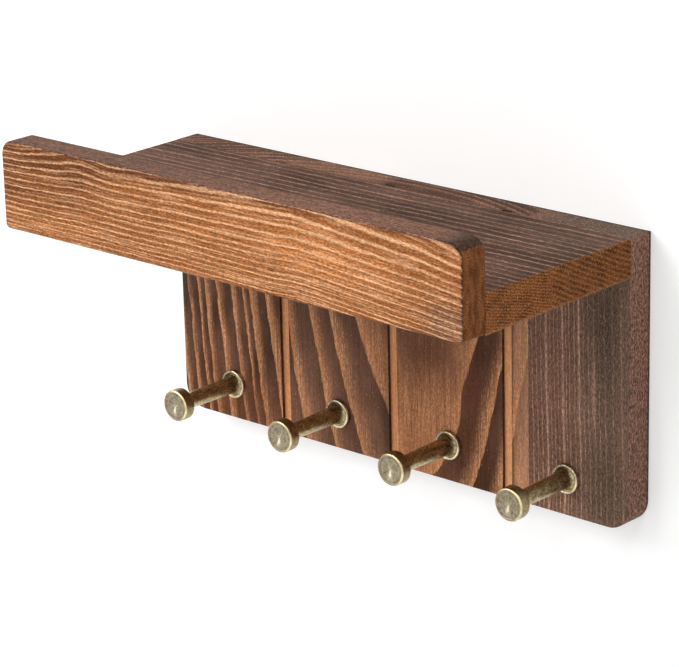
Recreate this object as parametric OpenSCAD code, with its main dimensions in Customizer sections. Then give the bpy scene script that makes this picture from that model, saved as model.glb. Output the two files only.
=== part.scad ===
// Wall key holder: a grooved back board, a shelf with a front rail, and four turned peg hooks.
// X runs along the boards, +Y points into the wall and +Z is up.
// The origin is the centre of the back board's wall face.

/* [Back board] */
// Width of the back board, of the shelf and of the front rail
board_w = 280; // [250:1:340]
// Height of the back board
panel_h = 139; // [125:1:180]
// Thickness of the back board
panel_t = 15; // [14:0.5:22]
// Radius of the two lower corners of the back board
panel_corner_r = 12; // [4:0.5:16]
// Width of the milled grooves
groove_w = 5.6; // [3:0.2:9]
// Depth of the milled grooves
groove_d = 1.6; // [0.8:0.2:3]

/* [Shelf] */
// Depth of the shelf from the back board to the rail
shelf_d = 100; // [70:1:140]
// Thickness of the shelf
shelf_t = 18.5; // [15:0.5:24]

/* [Front rail] */
// Height of the front rail
rail_h = 43; // [32:1:60]
// Thickness of the front rail
rail_t = 15; // [13:0.5:20]
// Radius of the two upper corners of the rail
rail_top_r = 7; // [3:0.5:10]
// Radius of the two lower corners of the rail
rail_bottom_r = 2.5; // [2:0.5:6]

/* [Eased edges] */
// Rounding of the edges round the front of the rail
rail_ease = 1.4; // [0.6:0.1:1.8]
// Rounding of the side and lower edges of the back board's front
panel_ease = 0.8; // [0.4:0.1:1.2]
// Rounding of the edges towards the wall and along the joints
joint_ease = 0.5; // [0.3:0.1:0.9]

/* [Peg hooks] */
// Distance of the outer hooks from the ends of the back board
hook_inset = 35; // [25:0.5:45]
// Height of the hooks above the lower edge of the back board
hook_rise = 18.5; // [14:0.5:40]
// Length of a hook from the board to the face of its head
hook_l = 43; // [30:1:60]
// Diameter of the hook's head
head_d = 15.8; // [13:0.2:20]
// Length of the hook's head
head_l = 6; // [4:0.2:9]
// Diameter of the shank where it meets the head
shank_tip_d = 7.6; // [6.4:0.2:9]
// Diameter of the shank where it leaves the flare
shank_root_d = 8.6; // [7:0.2:10]
// Diameter of the hook's foot
foot_d = 14.4; // [13.6:0.2:18]
// Height of the raised rim round the foot
foot_l = 2.4; // [2:0.1:4]
// Depth of the dished ring inside the rim
dish_depth = 1; // [0.4:0.1:1.4]
// Radius of the flare from the dish into the shank
flare_r = 6; // [3:0.2:9]

/* [Hook screws] */
// Diameter of the machine screws that hold the hooks
hook_screw_d = 4; // [3:0.5:4]
// Depth that the machine screws enter the hooks
hook_screw_grip = 10; // [6:0.5:14]
// Diameter of the pan heads
pan_d = 7.6; // [6.4:0.2:8.4]
// Height of the pan heads
pan_h = 2.6; // [2:0.1:3.2]
// Depth of the counterbores in the wall face
counterbore_depth = 4; // [3.4:0.2:6]

/* [Shelf screws] */
// Distance of the outer wood screws from the ends of the shelf
shelf_screw_inset = 40; // [25:1:60]
// Diameter of the wood screws
shelf_screw_d = 4; // [3.5:0.1:5]
// Length of the wood screws
shelf_screw_l = 45; // [35:1:60]
// Diameter of the countersunk heads
sunk_head_d = 8; // [7:0.2:9]
// Depth of the heads below the wall face
sunk_depth = 0.5; // [0.2:0.1:1]

/* [Rail dowels] */
// Distance of the outer dowels from the ends of the rail
dowel_inset = 45; // [20:1:70]
// Diameter of the dowels
dowel_d = 6; // [5:0.5:8]
// Depth that a dowel enters the rail
dowel_in_rail = 10; // [7:0.5:11]
// Depth that a dowel enters the shelf
dowel_in_shelf = 16; // [10:0.5:24]

/* [Keyholes] */
// Distance of the keyholes from the ends of the back board
keyhole_inset = 75; // [50:1:90]
// Drop of the entry holes below the top of the back board
keyhole_drop = 44; // [36:1:56]
// Diameter of the entry holes
keyhole_d = 9; // [8:0.5:11]
// Width of the slots above the entry holes
keyhole_slot_w = 4.6; // [4:0.2:5]
// Height that the holder drops onto the wall screws
keyhole_travel = 11; // [8:0.5:14]
// Thickness of the wood left over the undercut
keyhole_lip = 3.2; // [2.5:0.1:4]
// Width of the undercut behind the slot
undercut_w = 8.6; // [7:0.2:8.8]
// Depth of the keyholes
keyhole_depth = 8.6; // [7:0.2:10]

/* [Fits] */
// Radial gap round a screw where its thread holds
thread_gap = 0.05; // [0.03:0.01:0.15]
// Radial gap round a screw in a clearance hole
screw_gap = 0.25; // [0.1:0.05:0.5]
// Radial gap round a screw head in its counterbore
head_gap = 0.7; // [0.3:0.1:1]
// Radial gap round a glued dowel
dowel_gap = 0.05; // [0.03:0.01:0.15]
// Depth left free beyond the end of a screw or dowel
end_gap = 0.5; // [0.3:0.1:1]

/* [Hidden] */

$fn = 48;
// Steps along each rounded stretch of a turned profile
arc_steps = 6;
// Distance that a cutter reaches past the wood
over = 1;
// Ratio that lets an easing arc cross the faces instead of grazing them
ease_bulge = 1.04;
hook_count = 4;
shelf_screw_count = 3;
dowel_count = 3;

panel_top = panel_h / 2;
panel_front = -panel_t;
shelf_bottom = panel_top - shelf_t;
shelf_mid = panel_top - shelf_t / 2;
shelf_front = panel_front - shelf_d;
hook_z = hook_rise - panel_h / 2;
hook_pitch = (board_w - 2 * hook_inset) / (hook_count - 1);
shelf_screw_pitch = (board_w - 2 * shelf_screw_inset) / (shelf_screw_count - 1);
dowel_pitch = (board_w - 2 * dowel_inset) / (dowel_count - 1);

// Cross slot of the screw heads
drive_w = 0.9;
drive_share = 0.6;
drive_depth = 1.4;
// Soft corners of the turned parts
rim_round = 0.7;
back_edge = 0.4;
head_round = 0.9;
face_step = 0.2;
face_border = 0.5;
pan_round = 1.1;
dowel_bevel = 0.7;
screw_tip = 5;
tip_d = 0.8;
// Slope of the countersunk heads, as depth over the drop in radius
sunk_slope = 1;

// X of place i in a centred row of n places
function row_x(i, n, pitch) = (i - (n - 1) / 2) * pitch;

// Points of an arc about a centre, from one angle to another
function arc(centre, r, from, to) =
    [for (k = [0:arc_steps]) centre + r * [cos(from + (to - from) * k / arc_steps),
                                           sin(from + (to - from) * k / arc_steps)]];

// Cutter profile that rounds the corner at the origin of the wood lying below and left of it
module ease_profile(r) {
    difference() {
        translate([-r, -r]) square(r + over);
        translate([-r, -r]) circle(r * ease_bulge);
    }
}

// Board outline, standing on the X axis, with round corners above and below
module board_outline(w, h, top_r, bottom_r) {
    difference() {
        translate([-w / 2, 0]) square([w, h]);
        for (side = [-1, 1]) {
            if (top_r > 0)
                translate([side * w / 2, h]) mirror([side > 0 ? 0 : 1, 0]) corner_profile(top_r);
            if (bottom_r > 0)
                translate([side * w / 2, 0]) mirror([side > 0 ? 0 : 1, 0]) mirror([0, 1])
                    corner_profile(bottom_r);
        }
    }
}

// Waste outside the round corner of an outline
module corner_profile(r) {
    difference() {
        translate([-r, -r]) square(r + over);
        translate([-r, -r]) circle(r);
    }
}

// Cutter along a straight edge of length l on the X axis, for wood below it and behind it
module edge_cutter(l, r) {
    translate([-l / 2, 0, 0]) rotate([90, 0, 90]) linear_extrude(l) mirror([1, 0]) ease_profile(r);
}

// Cutter round a corner of radius corner_r, turned about the Y axis
module corner_cutter(corner_r, r) {
    translate([-corner_r, 0, -corner_r]) rotate([90, 0, 0]) mirror([0, 0, 1])
        rotate_extrude(angle = 90) translate([corner_r, 0]) mirror([0, 1]) ease_profile(r);
}

// Cutters round the edges of the face at Y = 0 of a board that lies behind it
module face_cutters(w, h, top_r, bottom_r, r, ease_top) {
    if (ease_top)
        translate([0, 0, h]) edge_cutter(w - 2 * top_r + (top_r > 0 ? 0 : 2 * over), r);
    mirror([0, 0, 1]) edge_cutter(w - 2 * bottom_r, r);
    side_top = h - top_r + (top_r > 0 ? 0 : over);
    for (side = [0, 1]) mirror([side, 0, 0]) {
        translate([w / 2, 0, (bottom_r + side_top) / 2]) rotate([0, 90, 0])
            edge_cutter(side_top - bottom_r, r);
        if (top_r > 0)
            translate([w / 2, 0, h]) corner_cutter(top_r, r);
        mirror([0, 0, 1]) translate([w / 2, 0, 0]) corner_cutter(bottom_r, r);
    }
}

// Board with its lower edge on the X axis and its rear face at Y = 0
module board(w, h, t, top_r, bottom_r, front_ease, ease_front_top) {
    difference() {
        rotate([90, 0, 0]) linear_extrude(t) board_outline(w, h, top_r, bottom_r);
        translate([0, -t, 0]) face_cutters(w, h, top_r, bottom_r, front_ease, ease_front_top);
        mirror([0, 1, 0]) face_cutters(w, h, top_r, bottom_r, joint_ease, true);
    }
}

// Cylinder that runs from y towards the room, on an axis at x and z
module bore(x, y, z, d, l) {
    translate([x, y, z]) rotate([90, 0, 0]) cylinder(d = d, h = l);
}

// Entry hole, slot and undercut of one keyhole, cut from the wall face
module keyhole() {
    bore(0, over, 0, keyhole_d, keyhole_depth + over);
    translate([-keyhole_slot_w / 2, -keyhole_lip - over, 0])
        cube([keyhole_slot_w, keyhole_lip + 2 * over, keyhole_travel]);
    bore(0, over, keyhole_travel, keyhole_slot_w, keyhole_lip + 2 * over);
    translate([-undercut_w / 2, -keyhole_depth, 0])
        cube([undercut_w, keyhole_depth - keyhole_lip, keyhole_travel]);
    bore(0, -keyhole_lip, keyhole_travel, undercut_w, keyhole_depth - keyhole_lip);
}

module back_panel() {
    color("#63422f")
    difference() {
        translate([0, 0, -panel_h / 2])
            board(board_w, panel_h, panel_t, 0, panel_corner_r, panel_ease, false);
        // Milled grooves midway between the hooks
        for (i = [0:hook_count - 2])
            translate([row_x(i, hook_count - 1, hook_pitch) - groove_w / 2, panel_front - over, -panel_h])
                cube([groove_w, groove_d + over, 2 * panel_h]);
        // Counterbored holes for the hook screws
        for (i = [0:hook_count - 1]) {
            x = row_x(i, hook_count, hook_pitch);
            bore(x, over, hook_z, hook_screw_d + 2 * screw_gap, panel_t + 2 * over);
            bore(x, over, hook_z, pan_d + 2 * head_gap, counterbore_depth + over);
        }
        // Countersunk holes for the shelf screws
        for (i = [0:shelf_screw_count - 1]) {
            x = row_x(i, shelf_screw_count, shelf_screw_pitch);
            bore(x, over, shelf_mid, shelf_screw_d + 2 * screw_gap, panel_t + 2 * over);
            translate([x, -sunk_depth, shelf_mid]) rotate([90, 0, 0])
                cylinder(d1 = sunk_head_d, d2 = 0, h = sunk_slope * sunk_head_d / 2);
            bore(x, over, shelf_mid, sunk_head_d, sunk_depth + over);
        }
        for (side = [-1, 1])
            translate([side * (board_w / 2 - keyhole_inset), 0, panel_top - keyhole_drop]) keyhole();
    }
}

module shelf_board() {
    color("#5a3d30")
    difference() {
        translate([0, panel_front, shelf_bottom]) rotate([90, 0, 0]) linear_extrude(shelf_d)
            difference() {
                translate([-board_w / 2, 0]) square([board_w, shelf_t]);
                for (side = [0, 1], up = [0, 1])
                    translate([0, shelf_t / 2]) mirror([side, 0]) mirror([0, up])
                        translate([board_w / 2, shelf_t / 2]) ease_profile(joint_ease);
            }
        for (i = [0:shelf_screw_count - 1])
            bore(row_x(i, shelf_screw_count, shelf_screw_pitch), panel_front + over, shelf_mid,
                shelf_screw_d + 2 * thread_gap, shelf_screw_l + sunk_depth - panel_t + end_gap + over);
        for (i = [0:dowel_count - 1])
            bore(row_x(i, dowel_count, dowel_pitch), shelf_front + dowel_in_shelf + end_gap, shelf_mid,
                dowel_d + 2 * dowel_gap, dowel_in_shelf + end_gap + over);
    }
}

module front_rail() {
    color("#a5683f")
    difference() {
        translate([0, shelf_front, shelf_bottom])
            board(board_w, rail_h, rail_t, rail_top_r, rail_bottom_r, rail_ease, true);
        for (i = [0:dowel_count - 1])
            bore(row_x(i, dowel_count, dowel_pitch), shelf_front + over, shelf_mid,
                dowel_d + 2 * dowel_gap, dowel_in_rail + end_gap + over);
    }
}

// Turned peg hook, one piece from its dished foot to its head, with a blind hole for the screw
module hook(i) {
    foot_r = foot_d / 2;
    root_r = shank_root_d / 2;
    head_r = head_d / 2;
    head_back = hook_l - head_l;
    border_r = head_r - head_round - face_border;
    // The flare starts where the rim's inner side meets the dish
    dish_floor = foot_l - dish_depth;
    flare_turn = acos(1 - (foot_r - 2 * rim_round - root_r) / flare_r);
    flare_centre = [root_r + flare_r, dish_floor + flare_r * sin(flare_turn)];
    profile = concat(
        [[0, 0], [foot_r - back_edge, 0], [foot_r, back_edge]],
        arc([foot_r - rim_round, foot_l - rim_round], rim_round, 0, 180),
        arc(flare_centre, flare_r, 180 + flare_turn, 180),
        [[shank_tip_d / 2, head_back], [head_r - back_edge, head_back], [head_r, head_back + back_edge]],
        arc([head_r - head_round, hook_l - head_round], head_round, 0, 90),
        [[border_r, hook_l], [border_r - face_step, hook_l - face_step], [0, hook_l - face_step]]
    );
    color("#8a7548")
    translate([row_x(i, hook_count, hook_pitch), panel_front, hook_z]) rotate([90, 0, 0])
        difference() {
            rotate_extrude() polygon(profile);
            translate([0, 0, -over])
                cylinder(d = hook_screw_d + 2 * thread_gap, h = hook_screw_grip + end_gap + over);
        }
}

// Cross slot sunk into a screw head of diameter d, whose top is at Z = 0
module cross_slot(d) {
    for (turn = [0, 90])
        rotate([0, 0, turn])
            translate([-d * drive_share / 2, -drive_w / 2, 0])
                cube([d * drive_share, drive_w, drive_depth + over]);
}

// Pan head machine screw through the back board into the foot of a hook
module hook_screw(i) {
    pan_r = pan_d / 2;
    color("#b9b3a3")
    translate([row_x(i, hook_count, hook_pitch), -counterbore_depth, hook_z]) rotate([90, 0, 0])
        difference() {
            rotate_extrude() polygon(concat(
                [[0, -pan_h]],
                arc([pan_r - pan_round, pan_round - pan_h], pan_round, -90, 0),
                [[pan_r, 0], [hook_screw_d / 2, 0],
                    [hook_screw_d / 2, panel_t - counterbore_depth + hook_screw_grip],
                    [0, panel_t - counterbore_depth + hook_screw_grip]]));
            translate([0, 0, -pan_h - over]) cross_slot(pan_d);
        }
}

// Countersunk wood screw through the back board into the rear edge of the shelf
module shelf_screw(i) {
    head_r = sunk_head_d / 2;
    shank_r = shelf_screw_d / 2;
    color("#b9b3a3")
    translate([row_x(i, shelf_screw_count, shelf_screw_pitch), -sunk_depth, shelf_mid]) rotate([90, 0, 0])
        difference() {
            rotate_extrude() polygon([[0, 0], [head_r, 0], [shank_r, sunk_slope * (head_r - shank_r)],
                [shank_r, shelf_screw_l - screw_tip], [tip_d / 2, shelf_screw_l], [0, shelf_screw_l]]);
            translate([0, 0, -over]) cross_slot(sunk_head_d);
        }
}

// Glued dowel between the shelf's front edge and the rail
module rail_dowel(i) {
    r = dowel_d / 2;
    l = dowel_in_rail + dowel_in_shelf;
    color("#c49a6c")
    translate([row_x(i, dowel_count, dowel_pitch), shelf_front + dowel_in_shelf, shelf_mid])
        rotate([90, 0, 0])
            rotate_extrude() polygon([[0, 0], [r - dowel_bevel, 0], [r, dowel_bevel], [r, l - dowel_bevel],
                [r - dowel_bevel, l], [0, l]]);
}

back_panel();
shelf_board();
front_rail();
hook(0);  // hook_1
hook(1);  // hook_2
hook(2);  // hook_3
hook(3);  // hook_4
hook_screw(0);  // hook_screw_1
hook_screw(1);  // hook_screw_2
hook_screw(2);  // hook_screw_3
hook_screw(3);  // hook_screw_4
shelf_screw(0);  // shelf_screw_1
shelf_screw(1);  // shelf_screw_2
shelf_screw(2);  // shelf_screw_3
rail_dowel(0);  // rail_dowel_1
rail_dowel(1);  // rail_dowel_2
rail_dowel(2);  // rail_dowel_3
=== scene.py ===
"""Dresses the wall key holder in its wood, brass and steel, and sets up a plain studio stage."""

import math
from types import SimpleNamespace

import bpy
from mathutils import Matrix, Vector


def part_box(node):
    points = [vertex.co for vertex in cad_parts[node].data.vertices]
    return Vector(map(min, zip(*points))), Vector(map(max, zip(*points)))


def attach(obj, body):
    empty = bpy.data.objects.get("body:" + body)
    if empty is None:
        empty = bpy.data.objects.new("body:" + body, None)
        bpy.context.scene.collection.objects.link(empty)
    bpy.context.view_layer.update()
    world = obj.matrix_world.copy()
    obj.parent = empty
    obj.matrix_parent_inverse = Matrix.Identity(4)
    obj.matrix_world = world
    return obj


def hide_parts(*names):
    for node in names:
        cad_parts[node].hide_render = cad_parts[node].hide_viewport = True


bl_info = {
    "name": "Wall Key Holder",
    "version": (1, 0, 0),
    "blender": (4, 5, 0),
    "location": "View3D > Sidebar > Key Holder",
    "description": "Gives a wall key holder its wood, brass and steel finishes and a plain studio stage",
    "category": "Object",
}

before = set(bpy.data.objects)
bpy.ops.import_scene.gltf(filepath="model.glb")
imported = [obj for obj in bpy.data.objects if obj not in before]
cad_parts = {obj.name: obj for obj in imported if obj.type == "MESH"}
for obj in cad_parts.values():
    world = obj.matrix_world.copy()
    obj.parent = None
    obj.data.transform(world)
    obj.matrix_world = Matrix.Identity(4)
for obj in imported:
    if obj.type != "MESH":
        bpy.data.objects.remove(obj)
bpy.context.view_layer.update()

MM = 0.001


def corners(node_name):
    """The low and the high corner of a CAD node's box, in millimetres."""
    low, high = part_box(node_name)
    return [Vector([round(value / MM, 2) for value in corner]) for corner in (low, high)]


BOARD_LOW, BOARD_HIGH = corners("back_panel")
SHELF_LOW, SHELF_HIGH = corners("shelf_board")
RAIL_LOW, RAIL_HIGH = corners("front_rail")
HOOK_LOW, HOOK_HIGH = corners("hook_1")
HOOK_HEIGHT = round((HOOK_LOW.z + HOOK_HIGH.z) / 2)
HOOK_PITCH = round(corners("hook_2")[0].x - HOOK_LOW.x)


def display(red, green, blue):
    """The linear values that a shader takes for a colour as it looks on a screen, 0 to 255."""
    levels = []
    for level in (red, green, blue):
        level = level / 255
        levels.append(level / 12.92 if level < 0.04045 else ((level + 0.055) / 1.055) ** 2.4)
    return levels


# Choices for the user


def colour_choice(name, description, red, green, blue):
    """A colour that the user can change."""
    return bpy.props.FloatVectorProperty(
        name=name,
        description=description,
        subtype="COLOR",
        size=3,
        min=0,
        max=1,
        default=display(red, green, blue),
    )


class WoodChoices(bpy.types.PropertyGroup):
    """Colours and relief of the three boards."""

    panel_dark: colour_choice("Board stain", "Dark early wood of the back board", 76, 49, 34)
    panel_mid: colour_choice("Board ground", "Lighter early wood of the back board", 114, 78, 62)
    panel_light: colour_choice("Board streaks", "Light late wood of the back board", 182, 124, 86)
    shelf_dark: colour_choice("Shelf stain", "Dark early wood of the shelf", 62, 38, 26)
    shelf_light: colour_choice("Shelf lines", "Light late wood of the shelf", 150, 113, 96)
    rail_base: colour_choice("Rail ground", "Orange-brown ground of the rail", 156, 96, 54)
    rail_light: colour_choice("Rail lines", "Light late wood of the rail", 239, 184, 138)
    relief: bpy.props.FloatProperty(
        name="Grain relief",
        description="Height of the late wood over the early wood",
        default=0.08 * MM,
        min=0,
        unit="LENGTH",
    )


class HookChoices(bpy.types.PropertyGroup):
    """Colours and roundness of the turned hooks."""

    # Also the colour of the painted highlights on the rims and the face
    brass_rubbed_and_highlight: colour_choice("Rubbed brass", "Brass where hands rub the rims bright", 238, 224, 170)
    brass_mid: colour_choice("Brass", "Brass of the head's face", 164, 146, 112)
    brass_dark: colour_choice("Aged brass", "Dark brass in the hollows", 84, 62, 38)
    steps: bpy.props.IntProperty(
        name="Lathe steps",
        description="Flats round a turned hook",
        default=96,
        min=24,
        max=256,
    )


class StageChoices(bpy.types.PropertyGroup):
    """Light of the studio stage."""

    key_power: bpy.props.FloatProperty(
        name="Key light",
        description="Power of the large soft lamp",
        default=15.0,
        min=0,
        subtype="POWER",
        unit="POWER",
    )
    sky_level: bpy.props.FloatProperty(
        name="Room light",
        description="Level of the even light from all round",
        default=0.55,
        min=0,
    )


# Node trees and materials


class Amount:
    """A number that changes over a surface. Arithmetic on it adds the Math nodes."""

    def __init__(self, nodes, socket):
        self.nodes = nodes
        self.socket = socket

    def __add__(self, other):
        return self.nodes.maths("ADD", self, other)

    def __radd__(self, other):
        return self.nodes.maths("ADD", other, self)

    def __sub__(self, other):
        return self.nodes.maths("SUBTRACT", self, other)

    def __rsub__(self, other):
        return self.nodes.maths("SUBTRACT", other, self)

    def __mul__(self, other):
        return self.nodes.maths("MULTIPLY", self, other)

    def __rmul__(self, other):
        return self.nodes.maths("MULTIPLY", other, self)

    def __truediv__(self, other):
        return self.nodes.maths("DIVIDE", self, other)

    def __rtruediv__(self, other):
        return self.nodes.maths("DIVIDE", other, self)

    def __neg__(self):
        return self.nodes.maths("MULTIPLY", self, -1)

    def __abs__(self):
        return self.nodes.maths("ABSOLUTE", self)


class Nodes:
    """A node tree, and the numbers, noises and colours that are added to it."""

    def __init__(self, tree):
        self.tree = tree

    def node(self, kind, settings=None, inputs=None):
        """Adds a node. Its settings are set first, then its sockets get values or links."""
        node = self.tree.nodes.new(kind)
        for name, value in (settings or {}).items():
            if name == "stops":
                self.set_stops(node.color_ramp, value)
            elif name == "blending":
                node.color_ramp.interpolation = value
            else:
                setattr(node, name, value)
        for name, value in (inputs or {}).items():
            self.plug(node.inputs[name], value)
        return node

    def plug(self, socket, value):
        """Gives a socket its value, or links it to what makes the value."""
        if isinstance(value, Amount):
            value = value.socket
        if isinstance(value, bpy.types.NodeSocket):
            self.tree.links.new(value, socket)
        else:
            socket.default_value = value

    def set_stops(self, ramp, stops):
        """Gives a colour ramp its stops, each a position and a grey level."""
        while len(ramp.elements) > 1:
            ramp.elements.remove(ramp.elements[-1])
        ramp.elements[0].position = stops[0][0]
        ramp.elements[0].color = (stops[0][1],) * 3 + (1,)
        for position, level in stops[1:]:
            ramp.elements.new(position).color = (level,) * 3 + (1,)

    def maths(self, operation, *terms):
        """The result of a Math node."""
        node = self.node("ShaderNodeMath", {"operation": operation}, dict(enumerate(terms)))
        return Amount(self, node.outputs[0])

    def least(self, one, other):
        """The lower of two numbers."""
        return self.maths("MINIMUM", one, other)

    def most(self, one, other):
        """The higher of two numbers."""
        return self.maths("MAXIMUM", one, other)

    def whole(self, value):
        """The whole number at or below a number."""
        return self.maths("FLOOR", value)

    def part(self, value):
        """What a number has past its whole number."""
        return self.maths("FRACT", value)

    def rise(self, value, low, high):
        """0 below low, 1 above high, and a smooth step between. With low above high it falls."""
        node = self.node(
            "ShaderNodeMapRange",
            {"interpolation_type": "SMOOTHSTEP"},
            {"Value": value, "From Min": low, "From Max": high},
        )
        return Amount(self, node.outputs["Result"])

    def table(self, value, pairs, blending="LINEAR"):
        """A number read off a table of (value, result) pairs."""
        low, high = pairs[0][0], pairs[-1][0]
        least = min(result for _, result in pairs)
        span = max(result for _, result in pairs) - least
        stops = [((at - low) / (high - low), (result - least) / span) for at, result in pairs]
        node = self.node(
            "ShaderNodeValToRGB",
            {"blending": blending, "stops": stops},
            {"Fac": (value - low) / (high - low)},
        )
        return Amount(self, node.outputs["Color"]) * span + least

    def rings(self, value, places):
        """Counts growth rings: a whole number at each listed place, and even steps between them."""
        return self.table(value, [(place, count) for count, place in enumerate(places)])

    def spot(self, across, up, centre, size):
        """A soft round patch, 1 in the middle."""
        sideways = (across - centre[0]) / size[0]
        upwards = (up - centre[1]) / size[1]
        return self.maths("EXPONENT", -(sideways * sideways + upwards * upwards))

    def spots(self, across, up, patches):
        """Soft round patches added up, each given by its centre, its size and its strength."""
        return sum(self.spot(across, up, centre, size) * strength for centre, size, strength in patches)

    def millimetres(self):
        """The place on the object, in millimetres, as three numbers."""
        place = self.node("ShaderNodeTexCoord").outputs["Object"]
        return self.split(self.scale(place, 1 / MM))

    def facing(self):
        """The way that the surface faces, as three numbers."""
        return self.split(self.node("ShaderNodeNewGeometry").outputs["Normal"])

    def split(self, vector):
        """A vector as three numbers."""
        parts = self.node("ShaderNodeSeparateXYZ", inputs={0: vector})
        return [Amount(self, parts.outputs[axis]) for axis in "XYZ"]

    def vector(self, x, y, z):
        """Three numbers as one vector."""
        return self.node("ShaderNodeCombineXYZ", inputs={"X": x, "Y": y, "Z": z}).outputs[0]

    def noise(self, vector, detail, roughness=0.5):
        """Soft noise from 0 to 1, with 0.5 in the middle."""
        node = self.node(
            "ShaderNodeTexNoise",
            {"noise_dimensions": "3D"},
            {"Vector": vector, "Scale": 1.0, "Detail": detail, "Roughness": roughness},
        )
        return Amount(self, node.outputs[0])

    def mix(self, factor, first, second):
        """A colour that goes from the first to the second as the factor goes from 0 to 1."""
        inputs = {0: factor, 6: self.opaque(first), 7: self.opaque(second)}
        return self.node("ShaderNodeMix", {"data_type": "RGBA"}, inputs).outputs[2]

    def opaque(self, colour):
        """A colour with its fourth value, unless it comes from a node."""
        return colour if isinstance(colour, bpy.types.NodeSocket) else (*colour, 1)

    def scale(self, vector, level):
        """A colour or a place, all of it times a number."""
        node = self.node("ShaderNodeVectorMath", {"operation": "SCALE"}, {0: vector, "Scale": level})
        return node.outputs[0]


class Recipe(Nodes):
    """A material and the nodes that make it."""

    def __init__(self, name, **fixed):
        self.material = bpy.data.materials.new(name)
        self.material.use_nodes = True
        super().__init__(self.material.node_tree)
        self.shader = self.tree.nodes["Principled BSDF"]
        self.feed(**fixed)

    def feed(self, **sockets):
        """Gives the shader's sockets their values or links."""
        for name, value in sockets.items():
            self.plug(self.shader.inputs[name.replace("_", " ")], value)

    def bump(self, height):
        """Gives the surface a height in metres."""
        node = self.node("ShaderNodeBump", inputs={"Strength": 1.0, "Distance": 1.0, "Height": height})
        self.feed(Normal=node.outputs[0])


def dress(node_name, material):
    """Gives a CAD node its material."""
    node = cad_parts[node_name]
    node.data.materials.clear()
    node.data.materials.append(material)


# Wood, with all places and lengths in millimetres


VARNISH = {"Roughness": 0.6, "Specular_IOR_Level": 0.05}
DARKEST_SPECK = 0.3

# Where the two staves of a board meet, along X in the back board and along Y in the shelf
PANEL_JOINT = 82.5
SHELF_JOINT = -71.0

# Half the width over which one stave's grain gives way to the other's
JOINT_BLEND = 0.05

# Half the width and the floor of the back board's grooves, midway between the hooks
GROOVE_HALF = 2.8
GROOVE_FLOOR = BOARD_LOW.y + 1.6

# The left stave's heart, far in front of the board, so that its rings cross the face in long arches
PANEL_HEART_X = 14
PANEL_HEART_Y = -185

# Growth rings as radii from the heart, uneven as in a real board
RAIL_RINGS = (
    21.8, 23.9, 26.0, 28.1, 30.2, 32.3, 34.3, 36.5, 39.2, 41.9, 44.3,
    46.3, 48.9, 51.3, 53.3, 55.3, 56.8, 58.7, 60.7, 62.8, 65.0,
)
PANEL_RINGS = (
    168.0, 172.9, 177.5, 181.8, 188.3, 194.5, 200.1,
    202.8, 207.2, 213.1, 218.6, 221.8, 226.0, 231.0,
)

# The light lines of the back board's right stave, as places from left to right
STAVE_LINES = (
    80.0, 83.6, 86.2, 88.8, 91.8, 94.2, 96.4, 98.6, 101.4, 103.4, 105.2,
    108.2, 110.8, 113.4, 116.0, 119.2, 122.0, 125.2, 129.6, 134.5, 141.0,
)

# How the rail's heart wanders behind its face and under its top edge, from left to right
RAIL_DEPTH = (
    (-140, 23.6), (-120, 25.2), (-100, 27.6), (-85, 28.8), (-69, 27.3), (-55, 27.9), (-30, 29.1),
    (0, 30.2), (30, 31.6), (60, 31.2), (90, 30.7), (120, 30.2), (140, 29.0),
)
RAIL_RISE = (
    (-140, -13.6), (-110, -12.2), (-85, -11.3), (-69, -12.0), (-50, -11.3), (-20, -10.6), (5, -9.6),
    (30, -8.4), (48, -9.0), (70, -8.0), (100, -6.2), (120, -5.1), (140, -4.2),
)

# Patches of stain, of grain and of painted shade, each with its centre, its size and its strength
# Grey patches on the back board, partly stain and partly painted shade under the shelf and the rail
PANEL_GREY_AND_SHADE = (
    ((-124, 30), (20, 30), 0.4),
    ((-62, 10), (7, 40), 0.5),
    ((-139, 10), (6, 50), 0.7),
    ((-22, 8), (18, 14), 0.35),
    ((8, 40), (10, 20), 0.5),
    ((126, 22), (11, 45), 0.6),
    ((-4, -40), (3, 30), 0.6),
    ((128, -50), (16, 24), 0.55),
)
PANEL_RUST = (
    ((-100, -60), (34, 14), 0.35),
    ((20, 10), (18, 30), 0.3),
    ((14, -60), (14, 16), 0.5),
)
BOLD_LINES = (
    ((91.8, 0), (0.9, 300), 1),
    ((101.4, 0), (0.9, 300), 1),
    ((110.8, 10), (0.9, 60), 1),
    ((118.6, -5), (1.2, 22), 1),
)
# Greyer patches on the shelf's top
SHELF_GREY_PATCHES = (
    ((118, -34), (26, 22), 0.3),
    ((60, -30), (30, 8), 0.2),
)
RAIL_FLAMES = (
    ((10, 2), (70, 7), 1),
    ((105, 6), (25, 8), 1),
)
RAIL_DARK = (
    ((-92, 4), (34, 7), 1),
    ((-20, 1), (44, 4), 1),
    ((132, 34), (20, 12), 0.8),
    ((-134, 2), (9, 60), 0.25),
    ((112, 14), (12, 7), 0.5),
)
RAIL_BRIGHT = (
    ((70, 20), (70, 14), 0.8),
    ((-110, 38), (40, 9), 0.5),
)

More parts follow.
